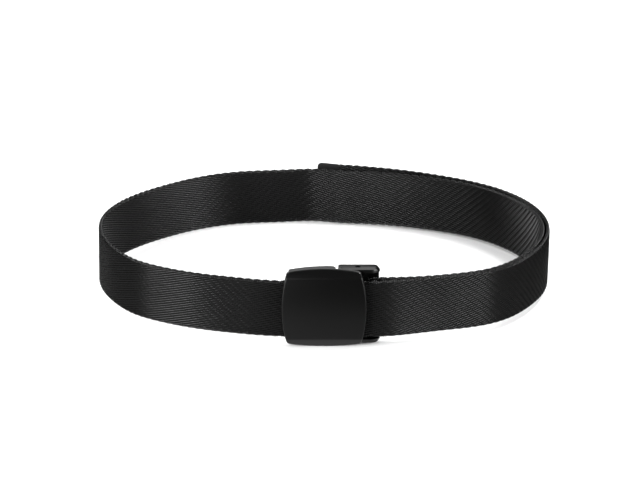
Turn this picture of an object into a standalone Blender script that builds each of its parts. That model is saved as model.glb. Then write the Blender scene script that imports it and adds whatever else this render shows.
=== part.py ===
"""Elastic belt: a length of stretch webbing closed into a loop by a plastic flip buckle.

The belt stands on the long edge of its webbing. Origin on the floor under the middle of the
loop, +X to the wearer's left along the buckle plate, -Y to the front of the buckle, +Z up.
"""
import bpy
import bmesh
import numpy as np
from math import radians
from mathutils import Matrix

# Webbing
WEBBING_WIDTH = 0.038
WEBBING_THICKNESS = 0.0028
WEBBING_EDGE_ROUND = 0.0008
LOOP_RADIUS = 0.1485            # half of the loop's widest measure
FRONT_REACH = 0.1311            # middle of the loop to the webbing inside the buckle
LAYER_GAP = 0.0005              # between the loop and the tail where they lie together
TAIL_SPRING = 0.0116            # how far the free end springs off the loop
TAIL_END_BEARING = 181.8        # degrees round from the buckle
EDGE_LEAN = 0.0024              # how far the upper edge leans out past the lower one
TIP_CORNER = 0.003
TIP_FLARE = 0.0010              # the melted tip is this much wider
TIP_LENGTH = 0.014
STATION_SPACING = 0.0075        # along the webbing
WIDTH_ROWS = 2

# Cover plate
PLATE_WIDTH = 0.0539
PLATE_HEIGHT = 0.0516
PLATE_THICKNESS = 0.0049
PLATE_SIDE_BOW = 0.0034
PLATE_END_BOW = 0.0019
PLATE_CORNER = 0.0030
PLATE_EDGE = 0.0009
FACET_HEIGHT = 0.0055
FACET_DEPTH = 0.0032

# Hinge pin
PIN_TO_PLATE_END = 0.00535
PIN_RADIUS = 0.0015
PIN_RECESS = 0.0008

# Cover flanges and hinge lugs
FLANGE_FROM_PLATE_END = 0.00445
FLANGE_TO_EAR = 0.0016
FLANGE_REACH = 0.0056           # behind the plate, at the hinge end
FLANGE_TAPER = 0.0022           # how much less it reaches at the feeding end
FLANGE_THICKNESS = 0.0032
FLANGE_HINGE_CORNER = 0.0034
FLANGE_FEED_CORNER = 0.0012
LUG_THICKNESS = 0.0010
LUG_BEFORE_PIN = 0.0091
LUG_WALL = 0.0008

# Frame
EAR_BEFORE_PIN = 0.0126
EAR_PAST_PIN = 0.0142
EAR_INSET = 0.0014              # below the top of the plate, and above its bottom
EAR_THICKNESS = 0.0023
EAR_SETBACK = 0.0008            # behind the back of the plate
EAR_FRONT_CORNER = 0.0068       # at the free end
EAR_BACK_CORNER = 0.0048
EAR_HIDDEN_CORNER = 0.0015
EAR_END_CORNER = 0.0034         # seen from the front
ANVIL_FROM_PLATE_END = 0.00495
ANVIL_THICKNESS = 0.0023
ANVIL_CORNER = 0.0008
CROSSBAR_THICKNESS = 0.0042
CROSSBAR_PAST_PIN = 0.0060
REAR_WALL_THICKNESS = 0.0022
SLOT_WALL = 0.0016              # between the pin's bore and the slot for the sewn end
SLOT_HEADROOM = 0.0015

# Fits
FIT = 0.0003                    # between pieces that touch
OVER = 0.01                     # how far a cutter stands past what it cuts
ARC_STEPS = 7                   # odd, so that each bowed side has a flat middle
CORNER_STEPS = 4

# Depths behind the front of the plate, front to back
WEBBING_FRONT = PLATE_THICKNESS + FIT
WEBBING_BACK = WEBBING_FRONT + WEBBING_THICKNESS
FRAME_FRONT = WEBBING_BACK + FIT
CROSSBAR_BACK = FRAME_FRONT + CROSSBAR_THICKNESS
FIXED_MIDDLE = CROSSBAR_BACK + FIT + WEBBING_THICKNESS / 2
REAR_WALL_FRONT = FIXED_MIDDLE + WEBBING_THICKNESS / 2 + FIT
FRAME_BACK = REAR_WALL_FRONT + REAR_WALL_THICKNESS
PIN_BORE = PIN_RADIUS + FIT
LUG_RADIUS = PIN_BORE + LUG_WALL
PIN_DEPTH = REAR_WALL_FRONT - FIT - LUG_RADIUS
PLATE_FRONT_Y = -FRONT_REACH - WEBBING_THICKNESS / 2 - WEBBING_FRONT

# Places along the plate
PIN_X = PLATE_WIDTH / 2 - PIN_TO_PLATE_END
LUG_START = PIN_X - LUG_BEFORE_PIN
EAR_START = PIN_X - EAR_BEFORE_PIN
EAR_END = PIN_X + EAR_PAST_PIN
FLANGE_START = -PLATE_WIDTH / 2 + FLANGE_FROM_PLATE_END
FLANGE_END = EAR_START - FLANGE_TO_EAR
ANVIL_START = -PLATE_WIDTH / 2 + ANVIL_FROM_PLATE_END
SLOT_START = PIN_X + PIN_BORE + SLOT_WALL
CROSSBAR_END = PIN_X + CROSSBAR_PAST_PIN

# Heights
WEBBING_LIFT = EAR_INSET + EAR_THICKNESS + FIT + LUG_THICKNESS + FIT
CORE_TOP = PLATE_HEIGHT - WEBBING_LIFT
SLOT_TOP = WEBBING_LIFT + WEBBING_WIDTH + SLOT_HEADROOM

# The loop from the buckle's fixed end, round the back, to its feeding end.
# Bearing in degrees from the front, counted over +X; radius as a share of LOOP_RADIUS;
# lean of the upper edge as a share of EDGE_LEAN.
LOOP_ROWS = (
    # bearing, radius, lean
    (27.0, 0.9110, 0.5),
    (33.0, 0.9330, 1.0),
    (39.0, 0.9630, 1.0),
    (45.0, 0.9870, 1.0),
    (52.0, 0.9950, 1.0),
    (62.0, 0.9850, 0.9),
    (75.0, 0.9740, 0.6),
    (90.0, 0.9620, 0.5),
    (103.0, 0.9480, 0.5),
    (116.0, 0.9330, 0.4),
    (128.0, 0.9210, 0.4),
    (138.0, 0.9030, 0.3),
    (148.0, 0.8810, 0.2),
    (158.0, 0.8660, 0.1),
    (168.0, 0.8560, 0.0),
    (176.0, 0.8570, 0.0),
    (183.0, 0.8830, 0.0),
    (193.0, 0.8900, 0.0),
    (204.0, 0.9220, 0.0),
    (216.0, 0.9410, 0.0),
    (230.0, 0.9470, 0.0),
    (245.0, 0.9680, 0.0),
    (262.0, 0.9860, 0.0),
    (280.0, 0.9900, 0.0),
    (296.0, 0.9930, 0.0),
    (306.0, 0.9930, 0.0),
    (315.0, 0.9720, -0.1),
    (325.0, 0.9440, -0.3),
    (336.0, 0.9170, -0.3),
)

# The tail over the outside of the loop; gap as a share of TAIL_SPRING beyond LAYER_GAP.
TAIL_ROWS = (
    # bearing, gap
    (27.0, 0.02),
    (33.0, 0.00),
    (39.0, 0.00),
    (45.0, 0.00),
    (52.0, 0.00),
    (62.0, 0.00),
    (75.0, 0.00),
    (90.0, 0.00),
    (103.0, 0.07),
    (116.0, 0.17),
    (128.0, 0.18),
    (138.0, 0.24),
    (148.0, 0.39),
    (158.0, 0.60),
    (168.0, 0.85),
    (176.0, 1.00),
    (182.0, 0.68),
)

WEBBING_LOOK = ("black webbing", (0.018, 0.017, 0.017), 0.62, 0.0)
PLASTIC_LOOK = ("black plastic", (0.012, 0.012, 0.013), 0.38, 0.0)
PIN_LOOK = ("blackened pin", (0.030, 0.030, 0.032), 0.35, 1.0)


def clear_scene():
    """Remove the objects that are already in the scene."""
    for old in list(bpy.data.objects):
        bpy.data.objects.remove(old, do_unlink=True)


def make_collection(name):
    collection = bpy.data.collections.new(name)
    bpy.context.scene.collection.children.link(collection)
    return collection


def make_material(look):
    name, colour, roughness, metallic = look
    material = bpy.data.materials.new(name)
    material.use_nodes = True
    shader = material.node_tree.nodes["Principled BSDF"]
    shader.inputs["Base Color"].default_value = (*colour, 1.0)
    shader.inputs["Roughness"].default_value = roughness
    shader.inputs["Metallic"].default_value = metallic
    return material


def natural_spline(knots, values, at):
    """Values of the natural cubic spline through the rows of values, at the places asked for."""
    knots = np.asarray(knots, float)
    values = np.asarray(values, float)
    span = np.diff(knots)
    count = len(knots)
    system = np.eye(count)
    bend = np.zeros_like(values)
    for i in range(1, count - 1):
        system[i, i - 1:i + 2] = span[i - 1], 2 * (span[i - 1] + span[i]), span[i]
        rise_in = (values[i] - values[i - 1]) / span[i - 1]
        rise_out = (values[i + 1] - values[i]) / span[i]
        bend[i] = 6 * (rise_out - rise_in)
    curve = np.linalg.solve(system, bend)
    result = []
    for place in np.atleast_1d(at):
        i = int(np.clip(np.searchsorted(knots, place) - 1, 0, count - 2))
        a = (knots[i + 1] - place) / span[i]
        b = 1 - a
        bow = ((a ** 3 - a) * curve[i] + (b ** 3 - b) * curve[i + 1]) * span[i] ** 2 / 6
        result.append(a * values[i] + b * values[i + 1] + bow)
    return np.array(result)


def around(bearing, radius):
    """Plan position at a bearing from the front of the loop."""
    angle = radians(bearing)
    return radius * np.sin(angle), -radius * np.cos(angle)


def webbing_knots():
    """Plan positions and leans that the webbing's middle passes through, end to end."""
    run_y = -FRONT_REACH
    fixed_y = PLATE_FRONT_Y + FIXED_MIDDLE
    fixed_start = SLOT_START + FIT
    knots = [(x, fixed_y, 0.0) for x in (fixed_start, (fixed_start + EAR_END) / 2, EAR_END)]
    rows = np.array(LOOP_ROWS)
    for bearing, radius, lean in rows:
        knots.append((*around(bearing, radius * LOOP_RADIUS), lean * EDGE_LEAN))
    for x in np.linspace(-PLATE_WIDTH / 2, EAR_END, 5):
        knots.append((x, run_y, 0.0))
    tail = [row for row in TAIL_ROWS if row[0] < TAIL_END_BEARING - 2]
    end_gap = natural_spline([row[0] for row in TAIL_ROWS], [[row[1]] for row in TAIL_ROWS],
                             TAIL_END_BEARING)[0, 0]
    for bearing, gap in tail + [(TAIL_END_BEARING, end_gap)]:
        radius, lean = natural_spline(rows[:, 0], rows[:, 1:], bearing)[0]
        outward = WEBBING_THICKNESS + LAYER_GAP + gap * TAIL_SPRING
        knots.append((*around(bearing, radius * LOOP_RADIUS + outward), lean * EDGE_LEAN))
    return np.array(knots)


def webbing_stations():
    """Position, sideways direction and lean at each station, and its distance to the tip."""
    knots = webbing_knots()
    chord = np.r_[0, np.cumsum(np.hypot(*np.diff(knots[:, :2], axis=0).T))]
    fine = natural_spline(chord, knots, np.linspace(0, chord[-1], 3000))
    run = np.r_[0, np.cumsum(np.hypot(*np.diff(fine[:, :2], axis=0).T))]
    straight = run[-1] - TIP_CORNER
    places = np.linspace(0, straight, int(round(straight / STATION_SPACING)) + 1)
    rounding = TIP_CORNER * np.sin(np.linspace(0, 1, CORNER_STEPS + 1)[1:] * np.pi / 2)
    places = np.r_[places, straight + rounding]
    line = np.stack([np.interp(places, run, column) for column in fine.T], axis=1)
    slope = np.stack([np.gradient(line[:, 0], places), np.gradient(line[:, 1], places)], axis=1)
    slope /= np.linalg.norm(slope, axis=1)[:, None]
    outward = np.stack([slope[:, 1], -slope[:, 0]], axis=1)
    return line, outward, run[-1] - places


def tip_heights(to_tip):
    """How far the two edges draw in at the rounded tip, and how much it flares there."""
    into = np.clip(TIP_CORNER - to_tip, 0, TIP_CORNER)
    inset = TIP_CORNER - np.sqrt(TIP_CORNER ** 2 - into ** 2)
    near = np.clip(1 - to_tip / TIP_LENGTH, 0, 1)
    flare = TIP_FLARE * near ** 2 * (3 - 2 * near)
    return inset, flare


def make_webbing(collection):
    """One strip of webbing on edge, thickened both ways from its middle surface."""
    line, outward, to_tip = webbing_stations()
    inset, flare = tip_heights(to_tip)
    back_y = line[:, 1].max() + WEBBING_THICKNESS / 2
    drop = (back_y - line[:, 1]) / (back_y + FRONT_REACH)
    mesh = bpy.data.meshes.new("webbing_strap")
    strip = bmesh.new()
    last = len(line) - 1
    bmesh.ops.create_grid(strip, x_segments=last, y_segments=WIDTH_ROWS, size=1.0)
    for vertex in strip.verts:
        station = int(round((vertex.co.x + 1) / 2 * last))
        across = (1 - vertex.co.y) / 2
        lean = line[station, 2] * (across - 0.5)
        low = WEBBING_LIFT * drop[station] + inset[station]
        high = WEBBING_LIFT * drop[station] + WEBBING_WIDTH + flare[station] - inset[station]
        vertex.co.x = line[station, 0] + outward[station, 0] * lean
        vertex.co.y = line[station, 1] + outward[station, 1] * lean
        vertex.co.z = low + (high - low) * across
    bmesh.ops.recalc_face_normals(strip, faces=strip.faces)
    strip.to_mesh(mesh)
    strip.free()
    webbing = bpy.data.objects.new("webbing_strap", mesh)
    collection.objects.link(webbing)
    thicken = webbing.modifiers.new("thickness", "SOLIDIFY")
    thicken.thickness = WEBBING_THICKNESS
    thicken.offset = 0.0
    thicken.use_even_offset = True
    edges = webbing.modifiers.new("rounded edges", "BEVEL")
    edges.width = min(WEBBING_EDGE_ROUND, WEBBING_THICKNESS * 0.4)
    edges.segments = 2
    edges.limit_method = "ANGLE"
    edges.angle_limit = radians(50)
    return webbing


def rounded(corners):
    """Outline through corners given as (x, y, radius), each rounded to its radius."""
    points = []
    for i, (x, y, radius) in enumerate(corners):
        corner = np.array((x, y))
        if radius <= 0:
            points.append(corner)
            continue
        back = np.array(corners[i - 1][:2]) - corner
        ahead = np.array(corners[(i + 1) % len(corners)][:2]) - corner
        back /= np.linalg.norm(back)
        ahead /= np.linalg.norm(ahead)
        half = np.arccos(np.clip(back @ ahead, -1, 1)) / 2
        middle = (back + ahead) / np.linalg.norm(back + ahead)
        centre = corner + middle * radius / np.sin(half)
        first = corner + back * radius / np.tan(half) - centre
        last = corner + ahead * radius / np.tan(half) - centre
        turn = np.arctan2(first[0] * last[1] - first[1] * last[0], first @ last)
        for step in np.linspace(0, turn, CORNER_STEPS + 1):
            c, s = np.cos(step), np.sin(step)
            points.append(centre + (first[0] * c - first[1] * s, first[0] * s + first[1] * c))
    return points


def barrel(width, height, side_bow, end_bow, corner):
    """Outline of a plate whose four sides bow outwards between rounded corners."""
    x, y = width / 2 - side_bow, height / 2 - end_bow
    turns = ((-x, -y), (x, -y), (x, y), (-x, y))
    bows = (end_bow, side_bow, end_bow, side_bow)
    outline = []
    for i, bow in enumerate(bows):
        start, end = np.array(turns[i]), np.array(turns[(i + 1) % 4])
        side = end - start
        outward = np.array((side[1], -side[0])) / np.linalg.norm(side)
        reach = bow / (1 - ARC_STEPS ** -2)
        outline.append((*start, corner))
        for share in np.arange(1, ARC_STEPS) / ARC_STEPS:
            place = start + side * share + outward * reach * 4 * share * (1 - share)
            if min(np.linalg.norm(place - start), np.linalg.norm(place - end)) > corner * 1.3:
                outline.append((*place, 0))
    return rounded(outline)


def slab(name, outline, start, end, along, collection):
    """Flat outline made solid from start to end along X, Y or Z."""
    curve = bpy.data.curves.new(name, "CURVE")
    curve.dimensions = "2D"
    curve.fill_mode = "BOTH"
    curve.extrude = (end - start) / 2
    spline = curve.splines.new("POLY")
    spline.points.add(len(outline) - 1)
    for point, (x, y) in zip(spline.points, outline):
        point.co = (x, y, 0, 1)
    spline.use_cyclic_u = True
    drawn = bpy.data.objects.new(name, curve)
    collection.objects.link(drawn)
    bpy.context.view_layer.update()
    evaluated = drawn.evaluated_get(bpy.context.evaluated_depsgraph_get())
    mesh = bpy.data.meshes.new_from_object(evaluated)
    bpy.data.objects.remove(drawn)
    middle = (start + end) / 2
    turn = {
        "X": Matrix(((0, 0, 1, middle), (1, 0, 0, 0), (0, 1, 0, 0), (0, 0, 0, 1))),
        "Y": Matrix(((1, 0, 0, 0), (0, 0, -1, middle), (0, 1, 0, 0), (0, 0, 0, 1))),
        "Z": Matrix.Translation((0, 0, middle)),
    }[along]
    mesh.transform(turn)
    weld = bmesh.new()
    weld.from_mesh(mesh)
    bmesh.ops.remove_doubles(weld, verts=weld.verts, dist=1e-6)
    bmesh.ops.recalc_face_normals(weld, faces=weld.faces)
    weld.to_mesh(mesh)
    weld.free()
    solid = bpy.data.objects.new(name, mesh)
    collection.objects.link(solid)
    return solid


def block(name, low, high, collection):
    """Box between two corners."""
    mesh = bpy.data.meshes.new(name)
    box = bmesh.new()
    bmesh.ops.create_cube(box, size=1.0)
    for vertex in box.verts:
        vertex.co = [low[i] + (high[i] - low[i]) * (vertex.co[i] + 0.5) for i in range(3)]
    box.to_mesh(mesh)
    box.free()
    solid = bpy.data.objects.new(name, mesh)
    collection.objects.link(solid)
    return solid


def upright_cylinder(name, x, y, radius, low, high, sides, collection):
    mesh = bpy.data.meshes.new(name)
    round_bar = bmesh.new()
    bmesh.ops.create_cone(round_bar, cap_ends=True, segments=sides, radius1=radius,
                          radius2=radius, depth=high - low)
    round_bar.to_mesh(mesh)
    round_bar.free()
    solid = bpy.data.objects.new(name, mesh)
    solid.location = (x, y, (low + high) / 2)
    collection.objects.link(solid)
    return solid


def combine(target, operation, tool):
    """Boolean of the target with a tool that is left out of the build."""
    step = target.modifiers.new(tool.name, "BOOLEAN")
    step.operation = operation
    step.object = tool
    step.solver = "EXACT"
    tool.hide_render = True
    tool.display_type = "WIRE"


def soften(target, width, angle):
    edges = target.modifiers.new("edges", "BEVEL")
    edges.width = width
    edges.use_clamp_overlap = False
    edges.segments = 2
    edges.limit_method = "ANGLE"
    edges.angle_limit = radians(angle)


def both_ends(low, high):
    """Height range near the bottom of the buckle, and the same one mirrored near its top."""
    return ((low, high), (PLATE_HEIGHT - high, PLATE_HEIGHT - low))


def make_cover(parts, tools):
    """Bowed plate with a sloping facet above and below, side flanges and two hinge lugs."""
    front = PLATE_FRONT_Y
    back = front + PLATE_THICKNESS
    outline = [(x, z + PLATE_HEIGHT / 2) for x, z in
               barrel(PLATE_WIDTH, PLATE_HEIGHT, PLATE_SIDE_BOW, PLATE_END_BOW, PLATE_CORNER)]
    flange_back = back + FLANGE_REACH
    cover = slab("buckle_cover", outline, front - OVER, flange_back + OVER, "Y", parts)
    slope = FACET_DEPTH / FACET_HEIGHT
    profile = (
        (front, FACET_HEIGHT),
        (front, PLATE_HEIGHT - FACET_HEIGHT),
        (front + FACET_DEPTH + slope * OVER, PLATE_HEIGHT + OVER),
        (back + 3 * OVER, PLATE_HEIGHT + OVER),
        (back + 3 * OVER, -OVER),
        (front + FACET_DEPTH + slope * OVER, -OVER),
    )
    combine(cover, "INTERSECT", slab("face_and_facets", profile, -PLATE_WIDTH, PLATE_WIDTH, "X",
                                     tools))
    soften(cover, PLATE_EDGE, 40)
    inside = back - PLATE_THICKNESS / 4
    plan = rounded((
        (-PLATE_WIDTH, front - 2 * OVER, 0),
        (PLATE_WIDTH, front - 2 * OVER, 0),
        (PLATE_WIDTH, back, 0),
        (FLANGE_END, back, 0),
        (FLANGE_END, flange_back, FLANGE_HINGE_CORNER),
        (FLANGE_START, flange_back - FLANGE_TAPER, FLANGE_FEED_CORNER),
        (FLANGE_START, back, 0),
        (-PLATE_WIDTH, back, 0),
    ))
    combine(cover, "INTERSECT", slab("plate_and_flanges", plan, -OVER, PLATE_HEIGHT + OVER, "Z",
                                     tools))
    combine(cover, "DIFFERENCE", block(
        "webbing_way", (-PLATE_WIDTH, back, FLANGE_THICKNESS),
        (PLATE_WIDTH, flange_back + OVER, PLATE_HEIGHT - FLANGE_THICKNESS), tools))
    pin_y = front + PIN_DEPTH
    round_end = np.linspace(0, np.pi, 4 * CORNER_STEPS + 1)
    lug_plan = [(LUG_START, inside), (PIN_X, inside)]
    lug_plan += [(PIN_X + LUG_RADIUS * np.cos(a), pin_y + LUG_RADIUS * np.sin(a))
                 for a in round_end]
    lug_plan.append((LUG_START, back + LUG_THICKNESS))
    lug_low = EAR_INSET + EAR_THICKNESS + FIT
    for end, (low, high) in zip(("lower", "upper"), both_ends(lug_low, lug_low + LUG_THICKNESS)):
        combine(cover, "UNION", slab(end + "_lug", lug_plan, low, high, "Z", tools))
    bore = upright_cylinder("lug_bore", PIN_X, pin_y, PIN_BORE, -OVER, PLATE_HEIGHT + OVER, 20,
                            tools)
    combine(cover, "DIFFERENCE", bore)
    return cover


def make_frame(parts, tools):
    """Anvil behind the webbing, ears over and under it, and a slot for the fixed end."""
    front = PLATE_FRONT_Y
    face = front + FRAME_FRONT
    back = front + FRAME_BACK
    ear_front = front + PLATE_THICKNESS + EAR_SETBACK
    slot_front = front + CROSSBAR_BACK
    slot_back = front + REAR_WALL_FRONT
    bottom, top = EAR_INSET, PLATE_HEIGHT - EAR_INSET
    ear_low, ear_high = bottom + EAR_THICKNESS, top - EAR_THICKNESS
    outline = rounded((
        (EAR_START, ear_front, EAR_HIDDEN_CORNER),
        (EAR_END, ear_front, EAR_FRONT_CORNER),
        (EAR_END, back, EAR_BACK_CORNER),
        (EAR_START, back, EAR_HIDDEN_CORNER),
    ))
    frame = slab("buckle_frame", outline, -OVER, PLATE_HEIGHT + OVER, "Z", parts)
    seen_from_front = rounded((
        (EAR_START - OVER, bottom, 0),
        (EAR_END, bottom, EAR_END_CORNER),
        (EAR_END, top, EAR_END_CORNER),
        (EAR_START - OVER, top, 0),
    ))
    combine(frame, "INTERSECT", slab("rounded_end", seen_from_front, ear_front - OVER, back + OVER,
                                     "Y", tools))
    cuts = (
        ("webbing_way", (EAR_START, ear_front, ear_low), (EAR_END, face, ear_high)),
        ("lower_lug_room", (EAR_START, ear_front, ear_low), (SLOT_START, slot_back, WEBBING_LIFT)),
        ("upper_lug_room", (EAR_START, ear_front, CORE_TOP), (SLOT_START, slot_back, ear_high)),
        ("fixed_end_slot", (SLOT_START, slot_front, WEBBING_LIFT - 2 * FIT),
         (EAR_END, slot_back, SLOT_TOP)),
        ("past_crossbar", (CROSSBAR_END, ear_front, ear_low), (EAR_END, slot_back, ear_high)),
    )
    for name, low, high in cuts:
        low, high = list(low), list(high)
        low[0] -= OVER * (low[0] == EAR_START)
        low[1] -= OVER * (low[1] == ear_front)
        high[0] += OVER * (high[0] == EAR_END)
        combine(frame, "DIFFERENCE", block(name, low, high, tools))
    anvil = rounded((
        (ANVIL_START, face, ANVIL_CORNER),
        (PIN_X - PIN_BORE, face, 0),
        (PIN_X - PIN_BORE, face + ANVIL_THICKNESS, 0),
        (ANVIL_START, face + ANVIL_THICKNESS, ANVIL_CORNER),
    ))
    combine(frame, "UNION", slab("anvil", anvil, WEBBING_LIFT, CORE_TOP, "Z", tools))
    bore = upright_cylinder("frame_bore", PIN_X, front + PIN_DEPTH, PIN_BORE, -OVER,
                            PLATE_HEIGHT + OVER, 20, tools)
    combine(frame, "DIFFERENCE", bore)
    return frame


def make_pin(parts):
    low = EAR_INSET + PIN_RECESS
    return upright_cylinder("hinge_pin", PIN_X, PLATE_FRONT_Y + PIN_DEPTH, PIN_RADIUS, low,
                            PLATE_HEIGHT - low, 20, parts)


def shade(piece, material):
    piece.data.materials.append(material)
    piece.data.shade_smooth()
    piece.data.set_sharp_from_angle(angle=radians(30))


def centre_on_floor(pieces):
    """Hang the pieces from one empty that puts the middle of their box over the origin."""
    bpy.context.view_layer.update()
    depsgraph = bpy.context.evaluated_depsgraph_get()
    corners = []
    for piece in pieces:
        evaluated = piece.evaluated_get(depsgraph)
        corners += [evaluated.matrix_world @ vertex.co for vertex in evaluated.data.vertices]
    corners = np.array(corners)
    middle = (corners.min(axis=0) + corners.max(axis=0)) / 2
    holder = bpy.data.objects.new("belt", None)
    bpy.context.scene.collection.objects.link(holder)
    holder.location = (-middle[0], -middle[1], -corners[:, 2].min())
    return holder


clear_scene()
belt_parts = make_collection("elastic_belt")
belt_tools = make_collection("cutters")
webbing = make_webbing(belt_parts)
cover = make_cover(belt_parts, belt_tools)
frame = make_frame(belt_parts, belt_tools)
pin = make_pin(belt_parts)
shade(webbing, make_material(WEBBING_LOOK))
plastic = make_material(PLASTIC_LOOK)
shade(cover, plastic)
shade(frame, plastic)
shade(pin, make_material(PIN_LOOK))
belt = centre_on_floor((webbing, cover, frame, pin))
for piece in [*belt_parts.objects, *belt_tools.objects]:
    piece.parent = belt
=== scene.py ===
"""Black stretch belt closed in a loop by a plastic flip buckle, standing on its edge in a studio.

Metres, +Z up, -Y to the front of the buckle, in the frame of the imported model.
"""
from itertools import product
from math import cos, pi, radians, sin

import bmesh
import bpy
import numpy as np
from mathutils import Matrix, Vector


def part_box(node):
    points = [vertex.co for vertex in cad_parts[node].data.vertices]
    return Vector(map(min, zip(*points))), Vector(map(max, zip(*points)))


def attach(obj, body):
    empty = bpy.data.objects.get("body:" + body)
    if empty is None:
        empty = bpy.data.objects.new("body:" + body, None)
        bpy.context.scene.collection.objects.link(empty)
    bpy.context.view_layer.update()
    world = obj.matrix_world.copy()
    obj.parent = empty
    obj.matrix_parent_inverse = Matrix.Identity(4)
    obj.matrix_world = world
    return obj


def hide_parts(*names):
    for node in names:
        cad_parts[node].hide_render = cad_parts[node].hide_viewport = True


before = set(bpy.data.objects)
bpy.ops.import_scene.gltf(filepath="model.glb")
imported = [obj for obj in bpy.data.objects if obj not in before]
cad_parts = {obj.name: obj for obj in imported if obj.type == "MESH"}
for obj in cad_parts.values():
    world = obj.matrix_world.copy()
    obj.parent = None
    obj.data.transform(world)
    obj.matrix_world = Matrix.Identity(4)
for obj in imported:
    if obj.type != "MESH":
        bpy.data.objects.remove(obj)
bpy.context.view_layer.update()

# The studio
# A pale table top that runs on past the picture, and a long lens that looks down on the belt from
# a little above its front. Low panels stand at the left and right front with a weak one between,
# two small ones hang over the belt and two stand behind it, each for a soft highlight of its own.
LENS = 298.3
CAMERA_DISTANCE = 3.5
CAMERA_ELEVATION = radians(18)
LOOP_MIDDLE_Y = -0.0029
PICTURE_WIDTH = 640
LOOP_RIGHT_OF_CENTRE = 4.0      # picture points
LOOP_BELOW_CENTRE = 41.05
TABLE_SIZE = 9.0
TABLE_GREYS = (0.90, 0.91)
# Painted reflections of the table top: glowing discs over it that only reflections see
PAINTED_REFLECTION_DISCS = ((0.150, 0.69, 0.0002), (0.215, 0.35, 0.0001))      # radius, brightness, height
PAINTED_REFLECTION_SIDES = 48
ROOM_LIGHT = 0.7
# name, place, width, depth, watts; all face the middle of the belt's foot
PANELS = (
    ("left_front_panel", (-0.723, -0.925, 0.25), 0.35, 0.4, 12.8),
    ("front_panel", (-0.440, -1.088, 0.25), 0.3, 0.4, 0.8),
    ("left_panel", (-0.973, -0.656, 0.25), 0.35, 0.4, 9.0),
    ("right_front_panel", (0.962, -0.673, 0.25), 0.35, 0.4, 9.5),
    ("right_panel", (1.128, -0.324, 0.25), 0.35, 0.4, 7.0),
    ("left_panel_above", (-0.4, 0.15, 0.85), 0.3, 0.3, 1.8),
    ("right_panel_above", (0.46, 0.15, 0.85), 0.35, 0.3, 7.4),
    ("left_back_panel", (-0.603, 1.044, 0.487), 0.5, 0.5, 2.7),
    ("back_panel_above", (0.0, 1.0, 0.75), 0.6, 0.5, 1.4),
)


class Signal:
    """A socket in a material's nodes, which Python's arithmetic turns into Math nodes."""

    def __init__(self, tree, socket=None):
        self.tree = tree
        self.socket = socket

    def node(self, kind, settings=None, values=None, output=0):
        """Add a node: its settings first, then the values or links of its sockets."""
        made = self.tree.nodes.new(kind)
        for name, setting in (settings or {}).items():
            setattr(made, name, setting)
        for name, value in (values or {}).items():
            if isinstance(value, Signal):
                self.tree.links.new(value.socket, made.inputs[name])
            else:
                made.inputs[name].default_value = value
        return Signal(self.tree, made.outputs[output])

    def math(self, operation, *values):
        return self.node("ShaderNodeMath", {"operation": operation}, dict(enumerate(values)))

    def between(self, first, second):
        """This share of the way from the first colour to the second."""
        return self.node("ShaderNodeMix", {"data_type": "RGBA"}, {0: self, 6: first, 7: second}, 2)

    def __add__(self, other):
        return self.math("ADD", self, other)

    def __sub__(self, other):
        return self.math("SUBTRACT", self, other)

    def __rsub__(self, other):
        return self.math("SUBTRACT", other, self)

    def __mul__(self, other):
        return self.math("MULTIPLY", self, other)

    __radd__ = __add__
    __rmul__ = __mul__


def grey(level):
    return level, level, level, 1.0


def new_finish(name, constants):
    """A material with constants on its shader's own sockets, and the start of its nodes."""
    material = bpy.data.materials.new(name)
    material.use_nodes = True
    shader = material.node_tree.nodes["Principled BSDF"]
    for socket, value in constants.items():
        shader.inputs[socket].default_value = value
    return material, Signal(material.node_tree)


def feed(material, socket, signal):
    shader = material.node_tree.nodes["Principled BSDF"]
    material.node_tree.links.new(signal.socket, shader.inputs[socket])


def circle(x, y, radius, sides):
    turn = np.arange(sides) * 2 * pi / sides
    return np.stack([x + radius * np.cos(turn), y + radius * np.sin(turn)], axis=1)


def new_object(name, points, faces, material):
    """A smooth mesh object from points, faces and its material."""
    mesh = bpy.data.meshes.new(name)
    mesh.from_pydata(np.asarray(points).tolist(), [], [list(face) for face in faces])
    mesh.shade_smooth()
    made = bpy.data.objects.new(name, mesh)
    made.data.materials.append(material)
    bpy.context.scene.collection.objects.link(made)
    return made


table_finish, start = new_finish("table top", {"Roughness": 0.9, "Specular IOR Level": 0.0})
mottle = start.node("ShaderNodeTexNoise", {}, {"Scale": 3.0, "Detail": 2.0})
feed(table_finish, "Base Color", mottle.between(*map(grey, TABLE_GREYS)))
corner = TABLE_SIZE / 2
table = new_object("table_top", [(-corner, -corner, 0), (corner, -corner, 0),
                                 (corner, corner, 0), (-corner, corner, 0)],
                   [(0, 1, 2, 3)], table_finish)
# Black plastic mirrors whatever lies round it. The table itself is not mirrored: glowing discs
# that only reflections see paint a reflection of the pale top, brightest under the belt and ending
# a hand's width from it, as on a small studio table with the dark beyond.
table.visible_glossy = False
for number, (radius, glow, height) in enumerate(PAINTED_REFLECTION_DISCS, 1):
    card_finish, start = new_finish(f"painted reflection disc {number}", {
        "Base Color": grey(0.0),
        "Specular IOR Level": 0.0,
        "Emission Color": grey(1.0),
        "Emission Strength": glow,
    })
    rim = circle(0, 0, radius, PAINTED_REFLECTION_SIDES)
    card = new_object(f"painted_reflection_disc_{number}", np.c_[rim, np.full(PAINTED_REFLECTION_SIDES, height)],
                      [range(PAINTED_REFLECTION_SIDES)], card_finish)
    card.visible_camera = False
    card.visible_diffuse = False
    card.visible_shadow = False

# The room's even light fills the shadows and keeps the top white. Nothing mirrors it.
room = bpy.data.worlds.new("room")
room.use_nodes = True
room.node_tree.nodes["Background"].inputs["Color"].default_value = grey(1.0)
room.node_tree.nodes["Background"].inputs["Strength"].default_value = ROOM_LIGHT
room.cycles_visibility.glossy = False
bpy.context.scene.world = room
bpy.context.scene.view_settings.view_transform = "Standard"

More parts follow.
